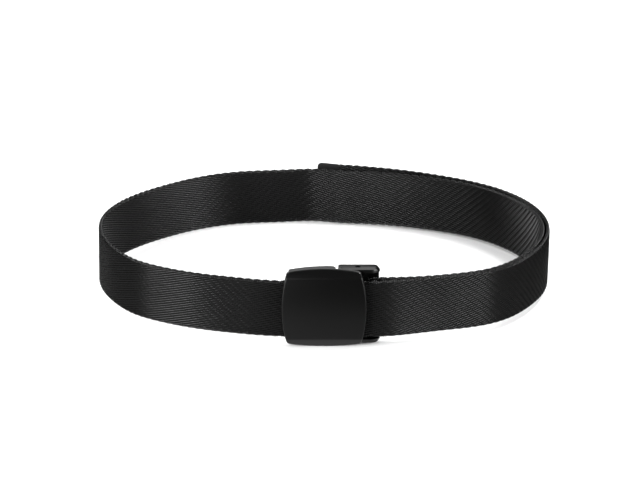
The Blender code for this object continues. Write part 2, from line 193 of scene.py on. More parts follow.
for name, place, width, depth, watts in PANELS:
    panel = bpy.data.lights.new(name, "AREA")
    panel.shape = "RECTANGLE"
    panel.size = width
    panel.size_y = depth
    panel.energy = watts
    holder = bpy.data.objects.new(name, panel)
    holder.location = place
    holder.rotation_euler = (-Vector(place)).to_track_quat("-Z", "Y").to_euler()
    bpy.context.scene.collection.objects.link(holder)

lens = bpy.data.cameras.new("camera")
lens.lens = LENS
lens.shift_x = -LOOP_RIGHT_OF_CENTRE / PICTURE_WIDTH
lens.shift_y = LOOP_BELOW_CENTRE / PICTURE_WIDTH
lens.clip_end = 50
camera = bpy.data.objects.new("camera", lens)
camera.location = (0, LOOP_MIDDLE_Y - CAMERA_DISTANCE * cos(CAMERA_ELEVATION),
                   CAMERA_DISTANCE * sin(CAMERA_ELEVATION))
camera.rotation_euler = (pi / 2 - CAMERA_ELEVATION, 0, 0)
bpy.context.scene.collection.objects.link(camera)
bpy.context.scene.camera = camera

# The webbing's course
# One length of flat stretch webbing stands on its edge. Its fixed end is held in the buckle's
# right side, it runs once round the waist, passes through the buckle from the left, and its
# free end lies over the outside of the loop to the middle of the back, where it springs off.
WEBBING_WIDTH = 0.038
WEBBING_THICKNESS = 0.0028
LOOP_RADIUS = 0.1485            # half of the loop's widest measure
FRONT_REACH = 0.1311            # middle of the loop to the webbing inside the buckle
LAYER_GAP = 0.0005
TAIL_SPRING = 0.0116
TAIL_END_BEARING = 181.8        # degrees round from the buckle
TAIL_END_FREE = 2.0             # degrees before its end without a row
EDGE_LEAN = 0.0024              # how far the upper edge leans out past the lower one
TIP_CORNER = 0.003
TIP_FLARE = 0.0010
TIP_LENGTH = 0.014
PLATE_WIDTH = 0.0539
PLATE_THICKNESS = 0.0049
FIT = 0.0003                    # between pieces that touch
PIN_X = 0.0216
EAR_END = PIN_X + 0.0142
FIXED_START = PIN_X + 0.0037
BUCKLE_KNOTS = 5
COURSE_STEPS = 3000
FIXED_MIDDLE = 0.0142           # behind the front of the plate
WEBBING_LIFT = 0.0053           # lower edge over the table, inside the buckle
PLATE_FRONT = -FRONT_REACH - WEBBING_THICKNESS / 2 - FIT - PLATE_THICKNESS
# bearing in degrees from the front, radius as a share of LOOP_RADIUS, lean as one of EDGE_LEAN
LOOP_ROWS = (
    (27.0, 0.9110, 0.5),
    (33.0, 0.9330, 1.0),
    (39.0, 0.9630, 1.0),
    (45.0, 0.9870, 1.0),
    (52.0, 0.9950, 1.0),
    (62.0, 0.9850, 0.9),
    (75.0, 0.9740, 0.6),
    (90.0, 0.9620, 0.5),
    (103.0, 0.9480, 0.5),
    (116.0, 0.9330, 0.4),
    (128.0, 0.9210, 0.4),
    (138.0, 0.9030, 0.3),
    (148.0, 0.8810, 0.2),
    (158.0, 0.8660, 0.1),
    (168.0, 0.8560, 0.0),
    (176.0, 0.8570, 0.0),
    (183.0, 0.8830, 0.0),
    (193.0, 0.8900, 0.0),
    (204.0, 0.9220, 0.0),
    (216.0, 0.9410, 0.0),
    (230.0, 0.9470, 0.0),
    (245.0, 0.9680, 0.0),
    (262.0, 0.9860, 0.0),
    (280.0, 0.9900, 0.0),
    (296.0, 0.9930, 0.0),
    (306.0, 0.9930, 0.0),
    (315.0, 0.9720, -0.1),
    (325.0, 0.9440, -0.3),
    (336.0, 0.9170, -0.3),
)
# bearing, gap as a share of TAIL_SPRING beyond LAYER_GAP
TAIL_ROWS = (
    (27.0, 0.02),
    (33.0, 0.00),
    (39.0, 0.00),
    (45.0, 0.00),
    (52.0, 0.00),
    (62.0, 0.00),
    (75.0, 0.00),
    (90.0, 0.00),
    (103.0, 0.07),
    (116.0, 0.17),
    (128.0, 0.18),
    (138.0, 0.24),
    (148.0, 0.39),
    (158.0, 0.60),
    (168.0, 0.85),
    (176.0, 1.00),
    (182.0, 0.68),
)


def natural_spline(knots, values, at):
    """Rows of the natural cubic spline through the rows of values, at each place."""
    knots, values = np.asarray(knots, float), np.asarray(values, float)
    at = np.atleast_1d(at)
    span = np.diff(knots)
    count = len(knots)
    system = np.eye(count)
    bend = np.zeros_like(values)
    for i in range(1, count - 1):
        system[i, i - 1:i + 2] = span[i - 1], 2 * (span[i - 1] + span[i]), span[i]
        rise_in = (values[i] - values[i - 1]) / span[i - 1]
        rise_out = (values[i + 1] - values[i]) / span[i]
        bend[i] = 6 * (rise_out - rise_in)
    curve = np.linalg.solve(system, bend)
    i = np.clip(np.searchsorted(knots, at) - 1, 0, count - 2)
    reach = span[i][:, None]
    a = (knots[i + 1] - at)[:, None] / reach
    b = 1 - a
    bow = ((a ** 3 - a) * curve[i] + (b ** 3 - b) * curve[i + 1]) * reach ** 2 / 6
    return a * values[i] + b * values[i + 1] + bow


def around(bearing, radius):
    return radius * sin(radians(bearing)), -radius * cos(radians(bearing))


def course_knots():
    """Plan positions and leans that the webbing's middle passes through, end to end."""
    fixed_y = PLATE_FRONT + FIXED_MIDDLE
    knots = [(x, fixed_y, 0.0) for x in (FIXED_START, (FIXED_START + EAR_END) / 2, EAR_END)]
    rows = np.array(LOOP_ROWS)
    for bearing, radius, lean in rows:
        knots.append((*around(bearing, radius * LOOP_RADIUS), lean * EDGE_LEAN))
    for x in np.linspace(-PLATE_WIDTH / 2, EAR_END, BUCKLE_KNOTS):
        knots.append((x, -FRONT_REACH, 0.0))
    gaps = np.array(TAIL_ROWS)
    end_gap = natural_spline(gaps[:, 0], gaps[:, 1:], TAIL_END_BEARING)[0, 0]
    tail = [row for row in TAIL_ROWS if row[0] < TAIL_END_BEARING - TAIL_END_FREE]
    for bearing, gap in tail + [(TAIL_END_BEARING, end_gap)]:
        radius, lean = natural_spline(rows[:, 0], rows[:, 1:], bearing)[0]
        outward = WEBBING_THICKNESS + LAYER_GAP + gap * TAIL_SPRING
        knots.append((*around(bearing, radius * LOOP_RADIUS + outward), lean * EDGE_LEAN))
    return np.array(knots)


knots = course_knots()
chord = np.r_[0, np.cumsum(np.hypot(*np.diff(knots[:, :2], axis=0).T))]
course = natural_spline(chord, knots, np.linspace(0, chord[-1], COURSE_STEPS))
run = np.r_[0, np.cumsum(np.hypot(*np.diff(course[:, :2], axis=0).T))]
slope = np.stack([np.gradient(course[:, 0], run), np.gradient(course[:, 1], run)], axis=1)
slope /= np.linalg.norm(slope, axis=1)[:, None]
facing = np.stack([slope[:, 1], -slope[:, 0]], axis=1)
WEBBING_LENGTH = run[-1]
back_of_loop = course[:, 1].max() + WEBBING_THICKNESS / 2
# The CAD model is centred on its box: the plate's corner shows where the loop's middle went.
plate_low, plate_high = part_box("buckle_cover")
SHIFT = np.array(((plate_low.x + plate_high.x) / 2, plate_low.y - PLATE_FRONT, plate_low.z))


def on_webbing(along, across, out):
    """Points a distance along the webbing, a share of its width up, and out from its middle."""
    x, y, lean = (np.interp(along, run, column) for column in course.T)
    out_x, out_y = (np.interp(along, run, column) for column in facing.T)
    to_tip = WEBBING_LENGTH - along
    into = np.clip(TIP_CORNER - to_tip, 0, TIP_CORNER)
    inset = TIP_CORNER - np.sqrt(TIP_CORNER ** 2 - into ** 2)
    near = np.clip(1 - to_tip / TIP_LENGTH, 0, 1)
    flare = TIP_FLARE * near ** 2 * (3 - 2 * near)
    low = WEBBING_LIFT * (back_of_loop - y) / (back_of_loop + FRONT_REACH) + inset
    width = WEBBING_WIDTH + flare - 2 * inset
    reach = out + lean * (across - 0.5)
    return np.stack([x + out_x * reach, y + out_y * reach, low + width * across], -1) + SHIFT


# The webbing's ground
# The body of the weave under its face yarns: the crosswise picks, which show as small dark
# steps where a face yarn dives under them, and the fused end. Black polyester and rubber thread.
PICK = 0.001436                 # spacing of the crosswise picks
YARN = 0.00115                  # spacing of the lengthwise yarns
YARNS = 31
REPEAT = 4 * PICK
GROUND = 0.00088                # half of the ground's thickness
GROUND_INSET = 0.0007           # room for the edge loops
PICK_RISE = 0.00016
PICK_STATIONS = 3
EDGE_ANGLES = (90, 55, 20, -20, -55, -90)
FUSED_MIDDLE = 0.024            # how far the fused end reaches from the tip, in mid width
FUSED_EDGE = 0.015              # and along both edges
FUSED_STEP = 0.003
FUSED_SQUARENESS = 2.5
FUSED_SWELL = 0.22              # shares of the ground's thickness
FUSED_BEAD = 0.2
TIP_STEPS = 7
TIP_STEPS_REACH = 0.98          # share of the corner's quarter turn
END_ROUNDING = 0.0012
END_THICKNESS = 0.35            # at the very end, as a share
GROUND_GREYS = (0.003, 0.007)
FUSED_GREY = 0.012


def fused(along, across):
    """0 in the woven length and 1 in the end that is fused flat by heat."""
    reach = FUSED_MIDDLE - (FUSED_MIDDLE - FUSED_EDGE) * np.abs(2 * across - 1) ** FUSED_SQUARENESS
    share = np.clip((reach - (WEBBING_LENGTH - along)) / FUSED_STEP, 0, 1)
    return share ** 2 * (3 - 2 * share)


def gathered(*columns):
    """Rows of the columns' values, each column spread over the others' shape."""
    return np.stack(np.broadcast_arrays(*columns), -1).reshape(-1, len(columns))


def mark(made, name, kind, values):
    """Keep a number or a vector on each point of a mesh, for its material to read."""
    field = {"FLOAT": "value", "FLOAT_VECTOR": "vector"}[kind]
    attribute = made.data.attributes.new(name, kind, "POINT")
    attribute.data.foreach_set(field, values.astype(np.float32).ravel())


straight = WEBBING_LENGTH - TIP_CORNER
station_count = int(straight / PICK * PICK_STATIONS)
stations = np.arange(station_count) * PICK / PICK_STATIONS
turn = np.linspace(0, 1, TIP_STEPS)[1:] * pi / 2 * TIP_STEPS_REACH
stations = np.r_[stations, straight, straight + TIP_CORNER * np.sin(turn)]
edge_share = GROUND / WEBBING_WIDTH
inset_share = edge_share + GROUND_INSET / WEBBING_WIDTH
ring = [(1 - inset_share + edge_share * cos(radians(angle)), GROUND * sin(radians(angle)))
        for angle in EDGE_ANGLES]
ring += [(0.75, -GROUND), (0.5, -GROUND), (0.25, -GROUND)]
ring += [(inset_share - edge_share * cos(radians(angle)), GROUND * sin(radians(angle)))
         for angle in reversed(EDGE_ANGLES)]
ring += [(0.25, GROUND), (0.5, GROUND), (0.75, GROUND)]
ring = np.array(ring)
along, across = np.meshgrid(stations, ring[:, 0], indexing="ij")
thickness = np.broadcast_to(ring[:, 1], along.shape)
# The fused end has no edge loops and swells to the webbing's full width and thickness.
smooth = fused(along, across)
at_edge = np.clip((np.abs(ring[:, 0] - 0.5) - 0.5 + inset_share) / edge_share, 0, 1)
across = across + np.sign(across - 0.5) * at_edge * smooth * (inset_share - edge_share)
bead = 4 * smooth * (1 - smooth)
thickness = thickness * (1 + FUSED_SWELL * smooth + FUSED_BEAD * bead)
rise = PICK_RISE * np.cos(2 * pi * along / PICK) * (1 - smooth)
end_round = np.clip((WEBBING_LENGTH - along) / END_ROUNDING, 0, 1)
squeeze = END_THICKNESS + (1 - END_THICKNESS) * np.sqrt(1 - (1 - end_round) ** 2)
thickness = thickness * (1 + rise / GROUND) * squeeze
points = on_webbing(along, across, thickness).reshape(-1, 3)
size = len(ring)
rows = np.arange(len(stations) - 1)[:, None] * size
here, ahead = np.arange(size), np.roll(np.arange(size), -1)
faces = gathered(rows + here, rows + ahead, rows + size + ahead, rows + size + here).tolist()
faces.append(list(range(size))[::-1])
faces.append([(len(stations) - 1) * size + i for i in range(size)])

ground_finish, start = new_finish("webbing ground", {"Specular IOR Level": 0.08})
melted = start.node("ShaderNodeAttribute", {"attribute_name": "fused"}, {}, "Fac")
speckle = start.node("ShaderNodeTexNoise", {}, {"Scale": 900.0, "Detail": 3.0})
woven = speckle.between(*map(grey, GROUND_GREYS))
feed(ground_finish, "Base Color", melted.between(woven, grey(FUSED_GREY)))
feed(ground_finish, "Roughness", 0.75 - melted * 0.33)
ground = new_object("webbing_ground", points, faces, ground_finish)
mark(ground, "fused", "FLOAT", smooth)
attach(ground, "root")
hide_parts("webbing_strap")

# The webbing's face yarns
# Lengthwise polyester yarns on both faces. Each floats over three picks and is bound by the
# fourth, one pick later than the yarn above it. A float rises sharply at a dull end that is
# painted darker as shade, then slopes down and leans upwards to the free end, which draws the
# slanting lines of the twill.
YARN_CROWN = 0.00054            # over the ground
YARN_SINK = 0.00030
FLOAT_LEAN = 1.2                # yarns that a float would lean across in one repeat
FLOAT_TO_END = 0.0015           # least length from the last float to the webbing's end
REPEAT_TO_END = 0.004
STRETCHES = 4
TONE_DRAW = 7
YARN_COLOURS = ((0.0010, 0.0010, 0.0010, 1), (0.0022, 0.0021, 0.0021, 1))
PLY_TURNS = 9000.0              # radians of twist a metre
PLY_LEAN = 5.0
PLY_RELIEF = 0.000006
FILAMENT_SLOPE = 0.078          # how much steeper than the float its filaments lie
# Runs of stations: place in the repeat, half width as a share of YARN, height of YARN_CROWN
FLOAT_RUNS = (
    ((-0.47, 0.38, -0.10), (-0.44, 0.49, 1.00)),
    ((-0.44, 0.49, 1.00), (0.36, 0.47, 0.20), (0.45, 0.35, -0.20)),
)
# place across the yarn as a share of its half width, height as a share of the float's
YARN_ARCH = ((-1.0, 0.0), (-0.62, 0.74), (0.0, 1.0), (0.62, 0.74), (1.0, 0.0))

yarn_finish, start = new_finish("webbing yarn", {"Specular IOR Level": 0.27})
place = start.node("ShaderNodeAttribute", {"attribute_name": "yarn"}, {}, "Vector")
length_along = start.node("ShaderNodeSeparateXYZ", {}, {0: place}, "X")
side = start.node("ShaderNodeSeparateXYZ", {}, {0: place}, "Y")
tone = start.node("ShaderNodeSeparateXYZ", {}, {0: place}, "Z")
ply = start.math("SINE", length_along * PLY_TURNS + side * PLY_LEAN)
filament = start.node("ShaderNodeTexNoise", {}, {"Scale": 4000.0, "Detail": 2.0})
height = (ply * 0.5 + filament) * PLY_RELIEF - length_along * FILAMENT_SLOPE
bump = start.node("ShaderNodeBump", {}, {"Strength": 1.0, "Distance": 1.0, "Height": height})
feed(yarn_finish, "Normal", bump)
# Random tone for each float; a tone below 0 clamps to the darkest colour, painted shade on the
# rising ends
feed(yarn_finish, "Base Color", (tone * 0.6 + filament * 0.4).between(*YARN_COLOURS))
rising_end = start.math("LESS_THAN", tone, 0.0)
feed(yarn_finish, "Roughness", 0.20 + filament * 0.12 + rising_end * 0.6)


def yarn_stretch(face, stretch):
    """Points, faces and shading places of the face yarns on one face over part of the length."""
    points, faces, places = [], [], []
    arch = np.array(YARN_ARCH)
    size = len(arch)
    last_repeat = int((WEBBING_LENGTH - REPEAT_TO_END) / REPEAT)
    bounds = np.linspace(0, last_repeat, STRETCHES + 1).astype(int)
    repeats = np.arange(bounds[stretch], bounds[stretch + 1])
    tones = np.random.default_rng(TONE_DRAW + face).random((YARNS, last_repeat + 1))
    filled = 0
    for yarn in range(YARNS):
        share = ((WEBBING_WIDTH - YARNS * YARN) / 2 + (yarn + 0.5) * YARN) / WEBBING_WIDTH
        shift = (-yarn * PICK) % REPEAT + REPEAT / 2 + (REPEAT / 2 if face < 0 else 0)
        for stations in FLOAT_RUNS:
            place, half, crown = np.array(stations).T
            along = (repeats[:, None] + place) * REPEAT + shift
            whole = along[:, -1] < WEBBING_LENGTH - FLOAT_TO_END
            along = along[whole]
            count = len(along)
            flat = 1 - fused(along, share)
            lean = FLOAT_LEAN * place[:, None]
            across = share + (face * arch[:, 0] * half[:, None] + lean) * YARN / WEBBING_WIDTH
            height = np.where(crown[:, None] * arch[:, 1] > 0, arch[:, 1], 0) * crown[:, None]
            dive = np.minimum(crown, 0)[:, None] - (arch[:, 1] == 0) * YARN_SINK / YARN_CROWN
            out = face * (GROUND + YARN_CROWN * (height * flat[:, :, None] + dive))
            along = np.broadcast_to(along[:, :, None], out.shape)
            across = np.broadcast_to(across, out.shape)
            points.append(on_webbing(along, across, out).reshape(-1, 3))
            runs = filled + np.arange(count)[:, None, None] * len(place) * size
            rows = runs + np.arange(len(place) - 1)[:, None] * size
            here = np.arange(size - 1)
            faces.append(gathered(rows + here, rows + here + size, rows + here + size + 1,
                                  rows + here + 1))
            # The rising end's tone is below 0, which its material reads as dull and paints in the
            # darkest yarn colour as painted shade.
            shade = tones[yarn, repeats[whole]] - (stations == FLOAT_RUNS[0])
            places.append(gathered(along, arch[:, 0], shade[:, None, None]))
            filled += count * len(place) * size
    return np.concatenate(points), np.concatenate(faces), np.concatenate(places)


for stretch in range(STRETCHES):
    front, back = yarn_stretch(1, stretch), yarn_stretch(-1, stretch)
    points = np.concatenate([front[0], back[0]])
    faces = np.concatenate([front[1], back[1] + len(front[0])])
    places = np.concatenate([front[2], back[2]])
    yarns = new_object(f"webbing_face_yarns_{stretch + 1}", points, faces.tolist(), yarn_finish)
    mark(yarns, "yarn", "FLOAT_VECTOR", places)
    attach(yarns, "root")

# The webbing's edges
# Every pick turns back round the outermost yarns and binds the edge with a slanting loop of the
# same yarn. Each fourth loop stands proud of the rest, so the upper edge runs in low scallops.
LOOP_RISE = 0.00040
LOOP_SLANT = 0.0010
LOOP_HALF = 0.00068
LOOP_FOOT = 0.0009              # how far a loop's feet reach onto the faces
SCALLOPS = ((1, 0.00080), (-1, 0.00035))    # side and depth of the upper and the lower edge
SCALLOP_STEPS = (0.0, 0.3, 1.0, 0.3)
PROUD_FOOT = 0.2                # a proud loop's foot, as a share of the others'
LOOP_DRAW = 3
LOOP_ANGLES = np.array((90.0, 90.0, 60.0, 20.0, -20.0, -60.0, -90.0, -90.0))
LOOP_FEET = np.array((1.0, 0.0, 0.0, 0.0, 0.0, 0.0, 0.0, 1.0))
LOOP_CROWN = np.array((-0.4, 0.9, 1.0, 1.0, 1.0, 1.0, 0.9, -0.4))
LOOP_ARCH = np.array(((-1.0, -0.5), (-0.45, 0.9), (0.45, 0.9), (1.0, -0.5)))
LOOP_STEP = 0.0008              # thread between two stations, for the shading

points, faces, places = [], [], []
filled = 0
size = len(LOOP_ARCH)
lengths = np.arange(1, len(LOOP_ANGLES) + 1)[:, None] * LOOP_STEP
wobble = np.random.default_rng(LOOP_DRAW)
for edge, scallop in SCALLOPS:
    for pick in range(int((WEBBING_LENGTH - FUSED_EDGE) / PICK)):
        middle = (pick + 0.5) * PICK
        proud = GROUND_INSET - LOOP_RISE - scallop * SCALLOP_STEPS[pick % 4]
        foot = LOOP_FOOT * (PROUD_FOOT if pick % 4 == 0 else 1.0) * wobble.uniform(0.9, 1.1)
        angle = np.radians(LOOP_ANGLES)
        rise = LOOP_ARCH[:, 1] * LOOP_RISE * LOOP_CROWN[:, None]
        reach = np.cos(angle) * (GROUND + proud) - LOOP_FEET * foot
        up = reach[:, None] + np.cos(angle)[:, None] * rise
        out = np.sin(angle)[:, None] * (GROUND + rise)
        slant = edge * LOOP_SLANT * LOOP_ANGLES[:, None] / 90
        along = np.clip(middle - slant + LOOP_ARCH[:, 0] * LOOP_HALF, 0.0, WEBBING_LENGTH)
        height = WEBBING_WIDTH / 2 + edge * (WEBBING_WIDTH / 2 - GROUND_INSET - GROUND + up)
        points.append(on_webbing(along, height / WEBBING_WIDTH, out).reshape(-1, 3))
        rows = filled + np.arange(len(angle) - 1)[:, None] * size
        here = np.arange(size - 1)
        turned = (rows + here, rows + here + 1, rows + here + size + 1, rows + here + size)
        faces.append(gathered(*turned[::edge]))
        places.append(gathered(lengths, LOOP_ARCH[:, 0], wobble.random()))
        filled += len(angle) * size
edges = new_object("webbing_edge_loops", np.concatenate(points), np.concatenate(faces).tolist(),
                   yarn_finish)
mark(edges, "yarn", "FLOAT_VECTOR", np.concatenate(places))
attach(edges, "root")

# The stitches at the fixed end
# Two short rows of bonded thread on the outer and inner face hold the fixed end where it comes out
# of the buckle. Each stitch arches over the yarns and its ends dive into the webbing.
STITCH_ROWS = (0.0142, 0.0172)  # along the webbing
STITCH_LENGTH = 0.0027
STITCH_GAP = 0.0004
STITCH_RADIUS = 0.00032
STITCH_PROUD = 0.00028
STITCH_DIVE = 0.0007            # how far its ends go into the webbing
STITCHES_START = 0.003          # from the webbing's lower edge
STITCHES_END = 0.004            # from its upper edge
STITCH_SIDES = 6
STITCH_STEPS = 7
THREAD_GREYS = (0.008, 0.02)

thread_finish, start = new_finish("stitching thread", {"Specular IOR Level": 0.25})
twist = start.node("ShaderNodeTexNoise", {}, {"Scale": 2500.0, "Detail": 2.0})
feed(thread_finish, "Base Color", twist.between(*map(grey, THREAD_GREYS)))
feed(thread_finish, "Roughness", 0.35 + twist * 0.2)
points, faces = [], []
size = STITCH_SIDES
arc = np.linspace(0, pi, STITCH_STEPS)
crest = GROUND + YARN_CROWN + STITCH_PROUD - STITCH_RADIUS
dive = STITCH_DIVE * (1 - np.sin(arc)) ** 2
round_thread = circle(0, 0, STITCH_RADIUS, size)
places = np.arange(STITCHES_START, WEBBING_WIDTH - STITCHES_END, STITCH_LENGTH + STITCH_GAP)
here, ahead = np.arange(size), np.roll(np.arange(size), -1)
for row, face, place in product(STITCH_ROWS, (1, -1), places):
    up = (place + STITCH_LENGTH * (1 - np.cos(arc)) / 2)[:, None] / WEBBING_WIDTH
    depth = face * (crest - dive)[:, None] + round_thread[:, 1]
    first = len(points) * len(arc) * size
    points.append(on_webbing(*np.broadcast_arrays(row + round_thread[:, 0], up, depth))
                  .reshape(-1, 3))
    rows = first + np.arange(len(arc) - 1)[:, None] * size
    walls = (rows + here, rows + ahead, rows + ahead + size, rows + here + size)
    faces += gathered(*walls[::face]).tolist()
    faces.append((first + here)[::-face].tolist())
    faces.append((first + (len(arc) - 1) * size + here)[::face].tolist())
stitches = new_object("fixed_end_stitches", np.concatenate(points), faces, thread_finish)
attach(stitches, "root")

# The cover plate
# The visible front of the buckle, moulded in one piece from black acetal: a plate whose four
# sides bow outwards, a sloping facet above and below, a flange behind each long side, and two
# thin lugs that the hinge pin goes through.
PLATE_HEIGHT = 0.0516
PLATE_SIDE_BOW = 0.0034
PLATE_END_BOW = 0.0019
PLATE_CORNER = 0.0030
PLATE_EDGE = 0.0009
FACET_HEIGHT = 0.0055
FACET_DEPTH = 0.0032
FACET_SOFTNESS = 0.0016
FLANGE_START = -PLATE_WIDTH / 2 + 0.00445
FLANGE_END = PIN_X - 0.0142
FLANGE_REACH = 0.0056
FLANGE_TAPER = 0.0022
FLANGE_THICKNESS = 0.0032
FLANGE_HINGE_CORNER = 0.0034
FLANGE_FEED_CORNER = 0.0012
EAR_INSET = 0.0014
EAR_THICKNESS = 0.0023
LUG_START = PIN_X - 0.0091
LUG_THICKNESS = 0.0010
PIN_BORE = 0.0018
LUG_RADIUS = PIN_BORE + 0.0008
REAR_WALL_FRONT = FIXED_MIDDLE + WEBBING_THICKNESS / 2 + FIT
PIN_DEPTH = REAR_WALL_FRONT - FIT - LUG_RADIUS
OVER = 0.01                     # how far a cutter stands past what it cuts
BOW_STEPS = 28
BOW_TO_CORNER = 1.2             # bare part of a side by each corner, of the corner's radius
CORNER_STEPS = 8
LUG_STEPS = 25
PIN_SIDES = 32
SOFTENED_ANGLE = 40             # degrees: sharper edges are rounded
CREASE_ANGLE = 32
PLASTIC_GREYS = (0.0003, 0.0006)


def rounded(corners):
    """Outline through corners given as (x, y, radius), each rounded to its radius."""
    outline = []
    for i, (x, y, radius) in enumerate(corners):
        corner = np.array((x, y))
        if radius <= 0:
            outline.append(corner)
            continue
        back = np.array(corners[i - 1][:2]) - corner
        ahead = np.array(corners[(i + 1) % len(corners)][:2]) - corner
        back /= np.linalg.norm(back)
        ahead /= np.linalg.norm(ahead)
        half = np.arccos(np.clip(back @ ahead, -1, 1)) / 2
        centre = corner + (back + ahead) / np.linalg.norm(back + ahead) * radius / np.sin(half)
        first = corner + back * radius / np.tan(half) - centre
        last = corner + ahead * radius / np.tan(half) - centre
        turn = np.arctan2(first[0] * last[1] - first[1] * last[0], first @ last)
        for step in np.linspace(0, turn, CORNER_STEPS + 1):
            c, s = cos(step), sin(step)
            outline.append(centre + (first[0] * c - first[1] * s, first[0] * s + first[1] * c))
    return outline


def barrel():
    """Outline of the plate: four bowed sides between rounded corners."""
    x, z = PLATE_WIDTH / 2 - PLATE_SIDE_BOW, PLATE_HEIGHT / 2 - PLATE_END_BOW
    turns = np.array(((-x, -z), (x, -z), (x, z), (-x, z)))
    outline = []
    for i, bow in enumerate((PLATE_END_BOW, PLATE_SIDE_BOW) * 2):
        side = turns[(i + 1) % 4] - turns[i]
        outward = np.array((side[1], -side[0])) / np.linalg.norm(side)
        outline.append((*turns[i], PLATE_CORNER))
        for share in np.arange(1, BOW_STEPS) / BOW_STEPS:
            place = turns[i] + side * share + outward * bow * 4 * share * (1 - share)
            to_ends = np.linalg.norm(turns - place, axis=1).min()
            if to_ends > PLATE_CORNER * BOW_TO_CORNER:
                outline.append((*place, 0))
    return [point + (0, PLATE_HEIGHT / 2) for point in rounded(outline)]


def slab(name, outline, start, end, along):
    """Closed solid of an outline, from start to end along X, Y or Z."""
    order = {"X": (2, 0, 1), "Y": (0, 2, 1), "Z": (0, 1, 2)}[along]
    flat = np.array(outline)
    count = len(flat)
    points = np.concatenate([np.c_[flat, np.full(count, end)], np.c_[flat, np.full(count, start)]])
    faces = [list(range(count)), list(range(2 * count - 1, count - 1, -1))]
    faces += [(i, i + count, (i + 1) % count + count, (i + 1) % count) for i in range(count)]
    mesh = bpy.data.meshes.new(name)
    mesh.from_pydata((points[:, order] + SHIFT).tolist(), [], faces)
    turned = bmesh.new()
    turned.from_mesh(mesh)
    bmesh.ops.recalc_face_normals(turned, faces=turned.faces)
    turned.to_mesh(mesh)
    turned.free()
    solid = bpy.data.objects.new(name, mesh)
    bpy.context.scene.collection.objects.link(solid)
    return solid


def box_outline(low_x, low_y, high_x, high_y):
    return ((low_x, low_y), (high_x, low_y), (high_x, high_y), (low_x, high_y))


def settle(solid):
    """Make the last modifier's result the solid's own mesh."""
    bpy.context.view_layer.update()
    mesh = bpy.data.meshes.new_from_object(
        solid.evaluated_get(bpy.context.evaluated_depsgraph_get()))
    solid.modifiers.clear()
    solid.data = mesh


def combine(solid, operation, tool):
    """Boolean of a solid with a tool, which is used up."""
    step = solid.modifiers.new(tool.name, "BOOLEAN")
    step.operation = operation
    step.object = tool
    step.solver = "EXACT"
    settle(solid)
    bpy.data.objects.remove(tool)


def soften(solid, width, segments):
    """Round the sharp edges to a width."""
    edges = solid.modifiers.new("soft edges", "BEVEL")
    edges.width = width
    edges.segments = segments
    edges.use_clamp_overlap = False
    edges.limit_method = "ANGLE"
    edges.angle_limit = radians(SOFTENED_ANGLE)
    settle(solid)


def finish_solid(solid, material, node):
    """Shade the solid, and let it stand for its node."""
    solid.data.materials.clear()
    solid.data.materials.append(material)
    solid.data.shade_smooth()
    solid.data.set_sharp_from_angle(angle=radians(CREASE_ANGLE))
    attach(solid, "root")
    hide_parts(node)


def mirrored(low, high):
    """A height range in the buckle's lower half, and its mirror image in the upper half."""
    return (low, high), (PLATE_HEIGHT - high, PLATE_HEIGHT - low)


# Black acetal with a fine satin grain from the mould and a little mottling.
plastic_finish, start = new_finish("moulded plastic", {"IOR": 1.48, "Specular IOR Level": 0.5})
grain = start.node("ShaderNodeTexNoise", {}, {"Scale": 5200.0, "Detail": 2.0})
cloudy = start.node("ShaderNodeTexNoise", {}, {"Scale": 160.0, "Detail": 3.0})
bump = start.node("ShaderNodeBump", {}, {
    "Strength": 0.25, "Distance": 0.00001, "Height": grain})
feed(plastic_finish, "Normal", bump)
feed(plastic_finish, "Base Color", cloudy.between(*map(grey, PLASTIC_GREYS)))
feed(plastic_finish, "Roughness", 0.27 + cloudy * 0.06 + grain * 0.04)

plate_back = PLATE_FRONT + PLATE_THICKNESS
flange_back = plate_back + FLANGE_REACH
cover = slab("buckle_cover_plate", barrel(), PLATE_FRONT - OVER, flange_back + OVER, "Y")
slope = FACET_DEPTH / FACET_HEIGHT
profile = rounded((
    (PLATE_FRONT, FACET_HEIGHT, FACET_SOFTNESS),
    (PLATE_FRONT, PLATE_HEIGHT - FACET_HEIGHT, FACET_SOFTNESS),
    (PLATE_FRONT + FACET_DEPTH + slope * OVER, PLATE_HEIGHT + OVER, 0),
    (plate_back + 3 * OVER, PLATE_HEIGHT + OVER, 0),
    (plate_back + 3 * OVER, -OVER, 0),
    (PLATE_FRONT + FACET_DEPTH + slope * OVER, -OVER, 0),
))
combine(cover, "INTERSECT", slab("face_and_facets", profile, -PLATE_WIDTH, PLATE_WIDTH, "X"))
soften(cover, PLATE_EDGE, 4)
flange_plan = rounded((
    (-PLATE_WIDTH, PLATE_FRONT - 2 * OVER, 0),
    (PLATE_WIDTH, PLATE_FRONT - 2 * OVER, 0),
    (PLATE_WIDTH, plate_back, 0),
    (FLANGE_END, plate_back, 0),
    (FLANGE_END, flange_back, FLANGE_HINGE_CORNER),
    (FLANGE_START, flange_back - FLANGE_TAPER, FLANGE_FEED_CORNER),
    (FLANGE_START, plate_back, 0),
    (-PLATE_WIDTH, plate_back, 0),
))
combine(cover, "INTERSECT", slab("plate_and_flanges", flange_plan, -OVER, PLATE_HEIGHT + OVER,
                                 "Z"))
between_flanges = box_outline(-PLATE_WIDTH, FLANGE_THICKNESS, PLATE_WIDTH,
                              PLATE_HEIGHT - FLANGE_THICKNESS)
combine(cover, "DIFFERENCE", slab("webbing_way", between_flanges, plate_back,
                                  flange_back + OVER, "Y"))
pin_y = PLATE_FRONT + PIN_DEPTH
inside_plate = plate_back - PLATE_THICKNESS / 4
lug_plan = [(LUG_START, inside_plate), (PIN_X, inside_plate)]
lug_plan += [(PIN_X + LUG_RADIUS * cos(a), pin_y + LUG_RADIUS * sin(a))
             for a in np.linspace(0, pi, LUG_STEPS)]
lug_plan.append((LUG_START, plate_back + LUG_THICKNESS))
lug_low = EAR_INSET + EAR_THICKNESS + FIT
